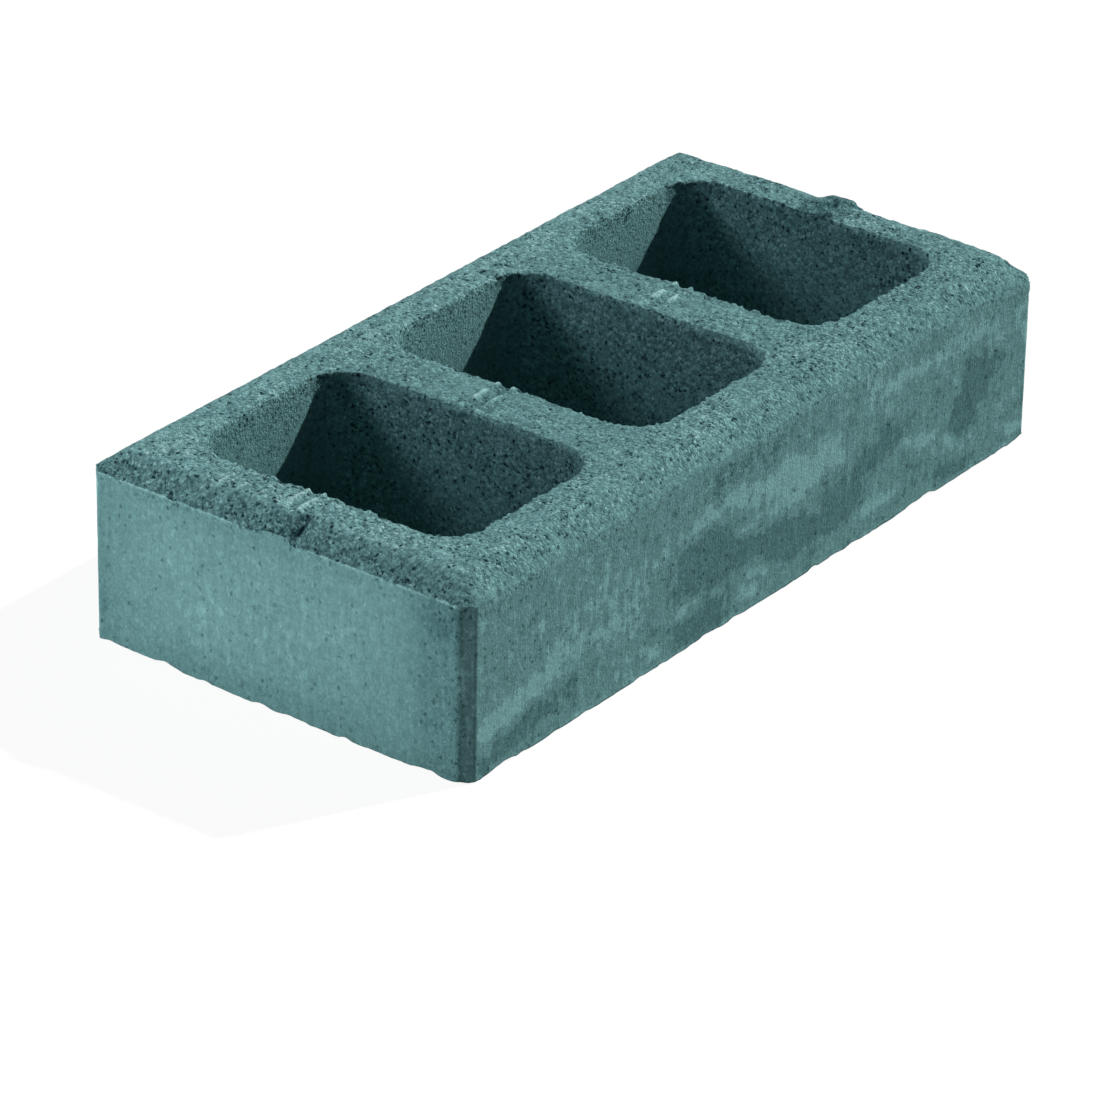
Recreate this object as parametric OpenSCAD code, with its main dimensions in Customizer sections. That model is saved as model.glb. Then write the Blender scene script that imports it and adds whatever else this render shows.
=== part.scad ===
// Half-height hollow concrete wall block with three cells, in millimetres.
// One cast piece, lying on its bed: X runs along the wall, Y across it, and
// Z up from the floor. The origin is on the floor under the block's centre.
// The pressed face is up: its edges are bevelled and its cells are widest.

/* [Block] */
// Length of the block along the wall
length = 390; // [280:1:600]
// Width of the block across the wall
width = 190; // [140:1:300]
// Height of the block from its bed to its pressed face
height = 85; // [50:1:200]

/* [Cells] */
// Number of cells in the row
cell_count = 3; // [1:1:4]
// Thickness of the two end walls at the pressed face
end_shell = 28; // [24:0.5:40]
// Thickness of the two long walls at the pressed face
face_shell = 28; // [24:0.5:40]
// Thickness of each web between two cells at the pressed face
web = 27; // [18:0.5:40]
// Radius of the cells' upright corners at the pressed face
cell_corner = 18; // [8:0.5:24]
// How far each cell wall leans in, from the pressed face down to the bed
cell_taper = 2; // [0.5:0.1:4]

/* [Edges] */
// How far the bevel round the pressed face reaches in from the sides
bevel_run = 11.5; // [4:0.5:16]
// How far that bevel drops down the sides
bevel_drop = 8.5; // [3:0.5:20]
// Leg of the flat that takes off each upright outer corner
corner_flat = 5; // [1:0.5:12]

/* [Core bar mark] */
// Width of the shallow track that the core bar leaves over the webs
track_width = 6; // [4:0.5:20]
// Depth of that track below the pressed face
track_depth = 0.8; // [0.3:0.1:2]
// Width of the ridge that stands along each side of the track, at its foot
ridge_width = 2.5; // [1.5:0.1:5]
// Width of that ridge along its crest
ridge_crest = 0.8; // [0.3:0.1:1.4]
// How far that ridge stands above the pressed face
ridge_height = 1; // [0.3:0.1:2]
// Width of the lug of unpressed concrete that fills the bevel at each end
lug_width = 26; // [12:1:36]
// Width of the lug along its crest
lug_crest = 10; // [4:0.5:12]
// How far the lug's crest lies below the pressed face
lug_below = 1.5; // [0.5:0.1:2.5]
// How far the lug's foot stays back from the end face
lug_setback = 1; // [0.5:0.1:3]

/* [Hidden] */

// How far a cutting shape runs past the faces it cuts, and a foot sinks in
past = 1;
// The heights between which the cells are cut, past the bed and the ridges
cut_low = -past;
cut_high = height + ridge_height + past;
// A span longer than any block, for profiles that are carried right through
span = 2 * (length + width);

cell_length = (length - 2 * end_shell - (cell_count - 1) * web) / cell_count;
cell_width = width - 2 * face_shell;
cell_pitch = cell_length + web;

// Distance from the centre to the flats on the upright corners
corner_reach = (length / 2 + width / 2 - corner_flat) / sqrt(2);

// Half a cell's side at height z, for a side that is full at the pressed face
function drawn_in(full, z) = full / 2 - cell_taper * (1 - z / height);

// A slab seen from its end, reach to each side, with both top edges bevelled
module bevelled_profile(reach) {
    polygon([
        [-reach, 0],
        [reach, 0],
        [reach, height - bevel_drop],
        [reach - bevel_run, height],
        [bevel_run - reach, height],
        [-reach, height - bevel_drop]
    ]);
}

// That slab carried right through the block, its width turned from the X axis
module bevelled_slab(reach, turn) {
    rotate([0, 0, turn])
        rotate([90, 0, 0])
            linear_extrude(height = span, center = true)
                bevelled_profile(reach);
}

// The outside: what four slabs have in common. Two give the sides and ends,
// and two on the diagonals give the flats on the corners and their bevels.
module outside() {
    intersection() {
        bevelled_slab(length / 2, 0);
        bevelled_slab(width / 2, 90);
        bevelled_slab(corner_reach, 45);
        bevelled_slab(corner_reach, -45);
    }
}

// One pair of a cell's leaning walls, as a wedge between its corner rounds
module cell_wedge(full, depth) {
    low = drawn_in(full, cut_low);
    high = drawn_in(full, cut_high);
    rotate([90, 0, 0])
        linear_extrude(height = depth, center = true)
            polygon([
                [-low, cut_low],
                [low, cut_low],
                [high, cut_high],
                [-high, cut_high]
            ]);
}

// A cell's corner round: a cone that keeps the lean of the walls beside it
module cell_round() {
    translate([0, 0, cut_low])
        cylinder(
            h = cut_high - cut_low,
            r1 = drawn_in(2 * cell_corner, cut_low),
            r2 = drawn_in(2 * cell_corner, cut_high),
            $fn = 96
        );
}

// The tapered core that forms one cell
module cell() {
    round_x = cell_length / 2 - cell_corner;
    round_y = cell_width / 2 - cell_corner;
    cell_wedge(cell_length, 2 * round_y);
    rotate([0, 0, 90])
        cell_wedge(cell_width, 2 * round_x);
    for (side_x = [-1, 1], side_y = [-1, 1])
        translate([side_x * round_x, side_y * round_y, 0])
            cell_round();
}

// The row of cells, centred on the block
module cells() {
    for (i = [0 : cell_count - 1])
        translate([(i - (cell_count - 1) / 2) * cell_pitch, 0, 0])
            cell();
}

// The shallow track of the core bar, along the middle of the pressed face
module core_bar_track() {
    translate([-length / 2, -track_width / 2, height - track_depth])
        cube([length, track_width, track_depth + past]);
}

// The two low ridges that stand beside the track, from bevel to bevel
module track_ridges() {
    for (side = [-1, 1])
        translate([0, side * (track_width + ridge_width) / 2, height])
            rotate([90, 0, 90])
                linear_extrude(height = length - 2 * bevel_run, center = true)
                    polygon([
                        [-ridge_width / 2, -past],
                        [ridge_width / 2, -past],
                        [ridge_width / 2, 0],
                        [ridge_crest / 2, ridge_height],
                        [-ridge_crest / 2, ridge_height],
                        [-ridge_width / 2, 0]
                    ]);
}

// The lug across the bevel at the end with the greatest X
module end_lug() {
    top = height - lug_below;
    foot = height - bevel_drop;
    outer = length / 2 - lug_setback;
    inner = length / 2 - bevel_run - past;
    translate([inner, 0, 0])
        rotate([90, 0, 90])
            linear_extrude(height = outer - inner)
                polygon([
                    [-lug_width / 2, foot],
                    [lug_width / 2, foot],
                    [lug_crest / 2, top],
                    [-lug_crest / 2, top]
                ]);
}

module block() {
    color([0.40, 0.56, 0.56])
        union() {
            difference() {
                union() {
                    outside();
                    track_ridges();
                }
                cells();
                core_bar_track();
            }
            end_lug();
            mirror([1, 0, 0])
                end_lug();
        }
}

block();
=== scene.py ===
# %% [markdown]
# # A hollow concrete wall block
# The real thing is one casting. A stiff, barely damp concrete is shaken into a steel mould, pressed
# from above and pushed out at once, and every surface keeps a trace of that: the pressed face is
# open and grainy, the sides are dragged smooth, the cells are rough, the bed is ragged. The cells
# are also painted darker with depth, as the shade that falls in them.
# This lesson works the casting out as one closed mesh with numpy, inside the box of the CAD part,
# and gives it one concrete material whose grain, pits and lime bloom come from nodes.

# %% Load the frame
import itertools
import math

import bpy
import numpy as np
from mathutils import Matrix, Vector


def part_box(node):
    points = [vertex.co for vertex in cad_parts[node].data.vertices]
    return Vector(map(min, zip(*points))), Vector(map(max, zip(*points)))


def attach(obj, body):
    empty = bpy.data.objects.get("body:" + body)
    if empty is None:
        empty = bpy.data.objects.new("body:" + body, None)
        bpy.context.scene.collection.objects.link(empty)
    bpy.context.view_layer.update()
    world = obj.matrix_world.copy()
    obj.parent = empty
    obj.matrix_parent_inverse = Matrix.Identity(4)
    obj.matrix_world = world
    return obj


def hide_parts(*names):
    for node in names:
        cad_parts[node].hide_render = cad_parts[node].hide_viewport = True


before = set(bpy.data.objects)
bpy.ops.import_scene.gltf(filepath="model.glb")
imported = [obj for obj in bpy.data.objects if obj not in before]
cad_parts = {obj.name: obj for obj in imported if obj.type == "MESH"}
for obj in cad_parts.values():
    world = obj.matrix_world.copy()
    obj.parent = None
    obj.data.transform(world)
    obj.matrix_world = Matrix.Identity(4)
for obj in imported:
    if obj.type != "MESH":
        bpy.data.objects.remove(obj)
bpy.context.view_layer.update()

# %% [markdown]
# ## Sizes
# The frame gives the outer box. The other sizes are those of the mould: the shells and webs round
# the three cells, the bevel round the pressed face, and the height of the core bar's ridges. They
# are in millimetres, which suit this object, and become metres when a mesh is made.

# %% Sizes in millimetres
MM = 0.001
RIDGE_HEIGHT = 1.0
box_low, box_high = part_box("block")
LENGTH = (box_high.x - box_low.x) / MM
WIDTH = (box_high.y - box_low.y) / MM
HEIGHT = (box_high.z - box_low.z) / MM - RIDGE_HEIGHT

CELL_COUNT = 3
END_SHELL = 28.0
FACE_SHELL = 28.0
WEB = 27.0
CELL_CORNER = 18.0
CELL_TAPER = 2.0
BEVEL_RUN = 11.5
BEVEL_DROP = 8.5
CORNER_FLAT = 5.0
BEVEL_ANGLE = math.atan2(BEVEL_DROP, BEVEL_RUN)

CELL_LENGTH = (LENGTH - 2 * END_SHELL - (CELL_COUNT - 1) * WEB) / CELL_COUNT
CELL_WIDTH = WIDTH - 2 * FACE_SHELL
PITCH = CELL_LENGTH + WEB
LIP = HEIGHT - BEVEL_DROP
print("block", round(LENGTH, 2), round(WIDTH, 2), round(HEIGHT, 2))
print("cell", round(CELL_LENGTH, 2), round(CELL_WIDTH, 2), "pitch", round(PITCH, 2))

# %% [markdown]
# ## The viewpoint
# The block is seen from its front left corner and from a little above, through a long lens at about
# two and a half metres. The camera is set by its heading, its dip and its roll, as the head of a
# tripod is. Three unit vectors made from those are the columns of its matrix, which avoids the
# guesswork of Euler angles.

# %% Camera
VIEW_HEADING = math.radians(36.595)
VIEW_DIP = math.radians(27.763)
VIEW_ROLL = math.radians(1.084)
VIEW_DISTANCE = 2532.4
VIEW_SLIDE = -7.1
VIEW_LIFT = -48.7
VIEW_CLIP = 100.0
LENS = 198.95


def camera_axes(heading, dip, roll):
    """Right, up and back as unit vectors. Forward is the heading tipped down by the dip, right is
    level and square to it, up is square to both, and the roll turns right towards up."""
    forward = np.array([
        math.cos(dip) * math.cos(heading),
        math.cos(dip) * math.sin(heading),
        -math.sin(dip),
    ])
    level = np.array([math.sin(heading), -math.cos(heading), 0.0])
    upright = np.cross(level, forward)
    right = level * math.cos(roll) + upright * math.sin(roll)
    up = upright * math.cos(roll) - level * math.sin(roll)
    return right, up, -forward


def add_camera():
    """A camera that aims at the block's middle from the view distance, then slides and lifts."""
    right, up, back = camera_axes(VIEW_HEADING, VIEW_DIP, VIEW_ROLL)
    aim = np.array([0.0, 0.0, HEIGHT / 2])
    place = aim + VIEW_DISTANCE * back + VIEW_SLIDE * right + VIEW_LIFT * up
    data = bpy.data.cameras.new("view")
    data.lens = LENS
    data.clip_end = VIEW_CLIP
    camera = bpy.data.objects.new("view", data)
    bpy.context.scene.collection.objects.link(camera)
    matrix = np.eye(4)
    matrix[:3, :3] = np.column_stack([right, up, back])
    matrix[:3, 3] = place * MM
    camera.matrix_world = Matrix(matrix.tolist())
    bpy.context.scene.camera = camera
    return camera


camera = add_camera()
print("camera at", [round(value, 3) for value in camera.matrix_world.translation])

# %% [markdown]
# ## The plan of the mesh
# Seen from above the block is three tiles side by side, each a rectangle with a round-cornered
# hole. A tile is a ring, so one grid covers it: its columns run round the cell, and its rows run up
# the cell wall, out over the pressed face, down the bevel and the side, and back in underneath.
# A cut made with a boolean would leave long thin triangles. A grid can be close where the casting
# crumbles, and wide low down, where nothing shows.

# %% Columns round a tile
COLUMNS_MARK = 20
COLUMNS_SIDE = 69
COLUMNS_FACE = 46
COLUMNS_FLAT = 3
MARK_REACH = 16.0


def mouth_quarter(distance):
    """Points and outward normals of a quarter of the cell's mouth, at distances along it from the
    X axis to the Y axis: straight, a quarter turn, straight. The normal's angle is the distance
    past the first straight over the corner's radius, kept between 0 and 90 degrees, and each
    point is one radius along its normal from a centre that slides up and then back."""
    half_x = CELL_LENGTH / 2 - CELL_CORNER
    half_y = CELL_WIDTH / 2 - CELL_CORNER
    angle = np.clip((distance - half_y) / CELL_CORNER, 0.0, math.pi / 2)
    normal = np.stack([np.cos(angle), np.sin(angle)], axis=1)
    past = distance - half_y - CELL_CORNER * math.pi / 2
    centre = np.stack([half_x - np.maximum(past, 0.0), np.minimum(distance, half_y)], axis=1)
    return centre + CELL_CORNER * normal, normal


def outline_quarter(distance, reach_x, reach_y, flat):
    """Points of a quarter of a tile's outline, at distances along it: up the end, slantwise over
    the flat that takes the corner off, and back along the side."""
    first = reach_y - flat
    slant = np.clip((distance - first) / math.sqrt(2), 0.0, flat)
    past = np.maximum(distance - first - flat * math.sqrt(2), 0.0)
    return np.stack([reach_x - slant - past, np.minimum(distance, first) + slant], axis=1)


def spread(marks, counts):
    """Distances that pass through the marks, with that many equal steps between each two."""
    knots = np.concatenate([[0], np.cumsum(counts)])
    return np.interp(np.arange(knots[-1] + 1), knots, marks)


def mouth_distances():
    """Columns along the mouth's quarter: close by the core-bar mark, then even to the corner's
    middle, and even again from there."""
    corner = CELL_WIDTH / 2 - CELL_CORNER + CELL_CORNER * math.pi / 4
    total = corner + CELL_CORNER * math.pi / 4 + CELL_LENGTH / 2 - CELL_CORNER
    counts = [COLUMNS_MARK, COLUMNS_SIDE - COLUMNS_MARK, COLUMNS_FACE]
    return spread([0.0, MARK_REACH, corner, total], counts)


def outline_distances(reach_x, reach_y, flat):
    """The same columns along an outline's quarter, with a few of them on the corner's flat."""
    near = reach_y - flat
    corner = near + flat / math.sqrt(2)
    if flat:
        marks = [0.0, MARK_REACH, near, corner, corner + flat / math.sqrt(2)]
        counts = [COLUMNS_MARK, COLUMNS_SIDE - COLUMNS_MARK - COLUMNS_FLAT, COLUMNS_FLAT]
        counts += [COLUMNS_FLAT, COLUMNS_FACE - COLUMNS_FLAT]
    else:
        marks = [0.0, MARK_REACH, corner]
        counts = [COLUMNS_MARK, COLUMNS_SIDE - COLUMNS_MARK, COLUMNS_FACE]
    marks.append(marks[-1] + reach_x - flat)
    return spread(marks, counts)


def close_ring(right, left):
    """Four quarters as one ring, anticlockwise from the X axis, by mirroring each given quarter
    once. The last point of each quarter is the first of the next, so it is left out."""
    second = (left * [-1, 1])[::-1]
    third = left * [-1, -1]
    fourth = (right * [1, -1])[::-1]
    return np.concatenate([right[:-1], second[:-1], third[:-1], fourth[:-1]])


print("columns round a tile", 4 * (COLUMNS_SIDE + COLUMNS_FACE))

# %% [markdown]
# ## Rows from the cell to the side and under
# The rows are bunched where the surface turns: at the cell's mouth, at the lip below the bevel and
# at the bed. Away from a turn each step is a little longer than the one before.

# %% Rows of a tile
WALL_ROWS = 18
LAND_ROWS = 18
BEVEL_ROWS = 16
SIDE_ROWS_ABOVE = 18
SIDE_ROWS_BELOW = 14
UNDER_ROWS = 5
WALL_GROWTH = 1.2
LAND_GROWTH = 1.06
BEVEL_GROWTH = 1.08
SIDE_GROWTH = 1.13
ZONE_WALL, ZONE_LAND, ZONE_BEVEL, ZONE_SIDE, ZONE_UNDER = range(5)


def widening(length, growth, count):
    """Distances from 0 to the length in count steps, each growth times the one before."""
    steps = growth ** np.arange(count)
    return np.concatenate([[0.0], np.cumsum(steps)]) * length / steps.sum()


def side_depths():
    """Depths below the lip: short steps at the lip, long ones half way, short ones at the bed."""
    upper = widening(LIP / 2, SIDE_GROWTH, SIDE_ROWS_ABOVE)
    lower = LIP - widening(LIP / 2, SIDE_GROWTH, SIDE_ROWS_BELOW)[::-1]
    return np.concatenate([upper, lower[1:]])


print("side rows at", side_depths().round(1))

# %% [markdown]
# ## One tile
# Three rings in plan are enough for a whole tile: the cell's mouth, the edge of the pressed face
# and the outline of the foot. Every row of the grid is a straight blend of two of them at its own
# height, so the slopes come out flat and the corners keep their shape.

# %% Grid of a tile
NEARLY = 1e-6


def tile_plans(reach_x, is_end):
    """Two rings' quarters for one half of a tile: the edge of the pressed face, and the foot."""
    run = BEVEL_RUN if is_end else 0.0
    flat = CORNER_FLAT if is_end else 0.0
    land_x = reach_x - run
    land_y = WIDTH / 2 - BEVEL_RUN
    land = outline_quarter(outline_distances(land_x, land_y, 0.0), land_x, land_y, 0.0)
    steps = outline_distances(reach_x, WIDTH / 2, flat)
    base = outline_quarter(steps, reach_x, WIDTH / 2, flat)
    return land, base


def tile_grid(index):
    """One tile: its points as rows by columns by three, the zone of each row, and whether each
    column ends on the outside of the block. Each row is a straight blend between two rings."""
    middle = (index - (CELL_COUNT - 1) / 2) * PITCH
    right_end = index == CELL_COUNT - 1
    left_end = index == 0
    right_reach = LENGTH / 2 - middle if right_end else PITCH / 2
    left_reach = LENGTH / 2 + middle if left_end else PITCH / 2
    land_right, base_right = tile_plans(right_reach, right_end)
    land_left, base_left = tile_plans(left_reach, left_end)
    mouth, normal = (close_ring(part, part) for part in mouth_quarter(mouth_distances()))
    land = close_ring(land_right, land_left)
    base = close_ring(base_right, base_left)

    outside = np.abs(land[:, 1]) > WIDTH / 2 - BEVEL_RUN - NEARLY
    if right_end:
        outside |= land[:, 0] > right_reach - BEVEL_RUN - NEARLY
    if left_end:
        outside |= land[:, 0] < BEVEL_RUN - left_reach + NEARLY

    rows = []
    zones = []

    def add(plan, height, zone):
        """Adds one ring of points at a height."""
        rows.append(np.column_stack([plan[:, 0] + middle, plan[:, 1], np.full(len(plan), height)]))
        zones.append(zone)

    for depth in widening(HEIGHT, WALL_GROWTH, WALL_ROWS)[:0:-1]:
        add(mouth - CELL_TAPER * depth / HEIGHT * normal, HEIGHT - depth, ZONE_WALL)
    for share in widening(1.0, LAND_GROWTH, LAND_ROWS):
        add(mouth + (land - mouth) * share, HEIGHT, ZONE_LAND)
    for share in 1.0 - widening(1.0, BEVEL_GROWTH, BEVEL_ROWS)[-2::-1]:
        add(land + (base - land) * share, HEIGHT - BEVEL_DROP * share, ZONE_BEVEL)
    for depth in side_depths()[1:]:
        add(base, LIP - depth, ZONE_SIDE)
    for share in np.linspace(0.0, 1.0, UNDER_ROWS + 1)[1:]:
        add(base + (mouth - CELL_TAPER * normal - base) * share, 0.0, ZONE_UNDER)
    return np.array(rows), np.array(zones), outside


# %% Quads of a tile
def tile_quads(zones, outside):
    """Corner numbers of a tile's quads, anticlockwise seen from outside. Down the bevel and the
    side only columns on the block's outside are joined, so a tile stops at a web's middle."""
    count = outside.size
    row, column = np.meshgrid(np.arange(zones.size - 1), np.arange(count), indexing="ij")
    after = (column + 1) % count
    below = np.roll(zones, -1)[:-1]
    outer = ((below == ZONE_BEVEL) | (below == ZONE_SIDE))[:, None]
    keep = ~outer | (outside[column] & outside[after])
    corners = [(row, column), (row + 1, column), (row + 1, after), (row, after)]
    return np.stack([(r * count + c)[keep] for r, c in corners], axis=1)


print("points in a tile", tile_grid(0)[0].shape[:2])

# %% [markdown]
# ## One closed skin
# The tiles meet along the middle of each web and their foot meets their cell wall, so points that
# fall together are made one. Every edge of a closed skin is then used by exactly two faces, which
# is a quick and complete test.

# %% Join the tiles
WELDS_PER_MM = 1e4


def join_tiles():
    """All tiles as one list of points, zones and quads, with points that coincide welded."""
    points = []
    zones = []
    quads = []
    start = 0
    for index in range(CELL_COUNT):
        grid, row_zones, outside = tile_grid(index)
        quads.append(tile_quads(row_zones, outside) + start)
        points.append(grid.reshape(-1, 3))
        zones.append(np.repeat(row_zones, outside.size))
        start += points[-1].shape[0]
    points = np.concatenate(points)
    zones = np.concatenate(zones)
    quads = np.concatenate(quads)
    keys = np.round(points * WELDS_PER_MM).astype(np.int64)
    _, first, index = np.unique(keys, axis=0, return_index=True, return_inverse=True)
    quads = index.reshape(-1)[quads]
    used, renumbered = np.unique(quads, return_inverse=True)
    return points[first][used], zones[first][used], renumbered.reshape(quads.shape)


def open_edges(quads):
    """How many edges aren't shared by exactly two quads."""
    edges = np.concatenate([quads[:, [i, (i + 1) % 4]] for i in range(4)])
    _, uses = np.unique(np.sort(edges, axis=1), axis=0, return_counts=True)
    return int((uses != 2).sum())


def vertex_normals(points, quads):
    """Unit normals at the points: the cross product of each quad's diagonals, which points out and
    is as long as the quad is large, summed at its four corners."""
    a, b, c, d = (points[quads[:, i]] for i in range(4))
    face = np.cross(c - a, d - b)
    total = np.zeros_like(points)
    for corner in range(4):
        for axis in range(3):
            total[:, axis] += np.bincount(quads[:, corner], face[:, axis], len(points))
    return total / np.linalg.norm(total, axis=1, keepdims=True)


plain, zone, block_quads = join_tiles()
plain_normal = vertex_normals(plain, block_quads)
print("points", len(plain), "triangles", 2 * len(block_quads), "open edges", open_edges(block_quads))
print("top normal", plain_normal[zone == ZONE_LAND].mean(axis=0).round(2))

# %% [markdown]
# ## Random numbers that stay put
# Concrete is random, but the same block must come out each time. So nothing is drawn from a
# running generator. Each whole-numbered point of an endless lattice gets its own number by mixing
# its three coordinates, and two kinds of noise are made from those: a smooth one for undulation,
# and one of round grains for the stones. A size per axis stretches either, which gives drag marks.
# A smooth step goes with them, since most marks have to begin and end somewhere without an edge.

# %% Noise on a lattice
LATTICE_FACTORS = np.array([73856093, 19349663, 83492791], np.uint64)
SEED_FACTOR = 2654435761
MIXING_FACTORS = (0x9E3779B97F4A7C15, 0xBF58476D1CE4E5B9)
MIXING_SHIFT = np.uint64(29)
NUMBER_BITS = 24


def lattice_number(corner, seed):
    """A repeatable number from 0 to 1 for each whole-numbered corner: the coordinates times large
    odd numbers are folded together, then folded and multiplied twice more to hide the pattern."""
    mixed = np.bitwise_xor.reduce(corner.astype(np.uint64) * LATTICE_FACTORS, axis=-1)
    mixed ^= np.uint64(seed * SEED_FACTOR)
    for factor in MIXING_FACTORS:
        mixed ^= mixed >> MIXING_SHIFT
        mixed *= np.uint64(factor)
    return (mixed >> np.uint64(64 - NUMBER_BITS)).astype(float) / 2 ** NUMBER_BITS


def smooth_noise(points, size, seed):
    """Noise from -1 to 1 with features about as large as the size: the eight corners round a
    point are blended with weights that ease from one to the next."""
    place = points / np.asarray(size, float)
    low = np.floor(place).astype(np.int64)
    part = place - low
    ease = part * part * (3 - 2 * part)
    total = np.zeros(len(points))
    for step in itertools.product((0, 1), repeat=3):
        weight = np.where(np.array(step, bool), ease, 1 - ease).prod(axis=1)
        total += weight * lattice_number(low + step, seed)
    return 2 * total - 1


# %% Stones on a lattice
STONE_LEAST = 0.4


def stones(points, size, seed):
    """Round grains from 0 to 1: one stone stands at random in each lattice cell, and a point's
    value is a dome that is highest at the nearest stone, higher for some stones than others."""
    place = points / np.asarray(size, float)
    low = np.floor(place).astype(np.int64)
    best = np.zeros(len(points))
    for step in itertools.product((-1, 0, 1), repeat=3):
        cell = low + step
        offset = np.stack([lattice_number(cell, seed + axis) for axis in range(3)], axis=1)
        reach = np.square(place - cell - offset).sum(axis=1)
        height = STONE_LEAST + (1 - STONE_LEAST) * lattice_number(cell, seed + 3)
        best = np.maximum(best, height * np.clip(1 - reach, 0.0, 1.0))
    return best


# %% A smooth step
def ease_between(value, start, end):
    """0 before the start, 1 after the end and a smooth S between; the start may be the larger."""
    share = np.clip((value - start) / (end - start), 0.0, 1.0)
    return share * share * (3 - 2 * share)


print("noise", smooth_noise(plain[:4], 6.0, 1).round(3), "stones", stones(plain[:4], 3.0, 2).round(3))

# %% [markdown]
# ## Where each point is
# The marks on the block follow its edges, so each point needs a few distances: how far it is from
# the cell's mouth and from the outline seen from above, how far down the bevel or the side, and
# whether it belongs to a long side or an end. Formulas for a rounded and a clipped rectangle give
# them all at once.

# %% Distances that the marks follow
CORNER_TURN = (-4.0, 6.0)

x, y, z = plain.T
tile_x = np.clip(np.round(x / PITCH), -(CELL_COUNT // 2), CELL_COUNT // 2) * PITCH


def distance_to_mouth(x, y):
    """Distance in plan from the nearest cell's mouth, positive in the concrete: that of a
    rectangle smaller by the corner's radius, less the radius."""
    over_x = np.abs(x - tile_x) - (CELL_LENGTH / 2 - CELL_CORNER)
    over_y = np.abs(y) - (CELL_WIDTH / 2 - CELL_CORNER)
    outside = np.hypot(np.maximum(over_x, 0.0), np.maximum(over_y, 0.0))
    return outside + np.minimum(np.maximum(over_x, over_y), 0.0) - CELL_CORNER


from_end = LENGTH / 2 - np.abs(x)
from_side = WIDTH / 2 - np.abs(y)
from_flat = (from_end + from_side - CORNER_FLAT) / math.sqrt(2)
inset = np.minimum(np.minimum(from_end, from_side), from_flat)
from_mouth = distance_to_mouth(x, y)
below_top = HEIGHT - z
bevel_share = np.clip(below_top / BEVEL_DROP, 0.0, 1.0)
on_outside = np.isin(zone, (ZONE_LAND, ZONE_BEVEL, ZONE_SIDE))
from_land_edge = np.minimum(from_end, from_side) - BEVEL_RUN
from_lip = np.where(zone == ZONE_SIDE, LIP - z, (z - LIP) / math.sin(BEVEL_ANGLE))
long_side = ease_between(from_end - from_side, *CORNER_TURN)
at_end = ease_between(long_side, 0.5, 0.0)
below_lip = np.maximum(LIP - z, 0.0)
print("mouth distance", from_mouth.min().round(2), from_mouth.max().round(2))

# %% [markdown]
# ## The core-bar marks
# A bar across the mould carried the three cores. Where it left the wet concrete it dragged a
# shallow track along the block's middle, with a ragged ridge on each side. Bell curves across the
# track give both, and noise bends and breaks them so that neither looks ruled. The ridges are
# highest at the rims of the cells.

# %% Track and ridges
TRACK_CENTRE = 1.2
TRACK_HALF = 2.8
TRACK_DEPTH = 0.8
TRACK_WANDER = 0.6
RIDGE_OFFSET = 3.7
RIDGE_HALF = 1.0
RIDGE_LEAST = 0.1
RIDGE_RAGGED = 0.35
RIDGE_AT_RIM = 0.7
RIM_REACH = 2.4

wander = TRACK_WANDER * smooth_noise(plain, 9.0, 11)
across = y - TRACK_CENTRE + wander
pressed = (zone == ZONE_LAND).astype(float)
broken = 0.5 + 0.5 * smooth_noise(plain, (4.5, 30.0, 30.0), 12)
by_rim = np.exp(-np.square(from_mouth / RIM_REACH))
ridges = np.exp(-np.square((np.abs(across) - RIDGE_OFFSET) / RIDGE_HALF))
ridge_lift = ridges * (RIDGE_LEAST + RIDGE_RAGGED * broken + RIDGE_AT_RIM * by_rim) * pressed
uneven = 0.75 + 0.35 * smooth_noise(plain, 3.0, 13)
track = np.exp(-np.square(np.square(across / TRACK_HALF))) * uneven * pressed
print("ridge up to", ridge_lift.max().round(2), "track down to", (track.max() * TRACK_DEPTH).round(2))

# %% [markdown]
# ## Crumbs along the track
# Where the bar's two ridges run out at the rim of a cell, a crumb is left standing, and on each wall
# that the bar crossed a longer flake lies along each ridge, with a small pit by the rim. Listing
# every crumb would fix one block's accidents, so they are worked out from the mould's own sizes:
# the walls' edges say where, and lattice numbers say how proud each one is and how far it slipped.

# %% Places of crumbs, flakes and pits
CROSSED_WALLS = np.array([
    (-PITCH / 2 - WEB / 2, -PITCH / 2 + WEB / 2),
    (PITCH / 2 - WEB / 2, PITCH / 2 + WEB / 2),
    (BEVEL_RUN - LENGTH / 2, END_SHELL - LENGTH / 2),
])
CRUMB_INSET = 1.5
CRUMB_HALF = 0.3
FLAKE_HALF = 3.5
SLIP = 2.0
TORN_LEAST = 0.5
TORN_SPREAD = 0.9
PIT_INSET = 2.5
PIT_DEPTH = 1.2
FIRST_CRUMB, FLAKE, LAST_CRUMB = range(3)


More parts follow.
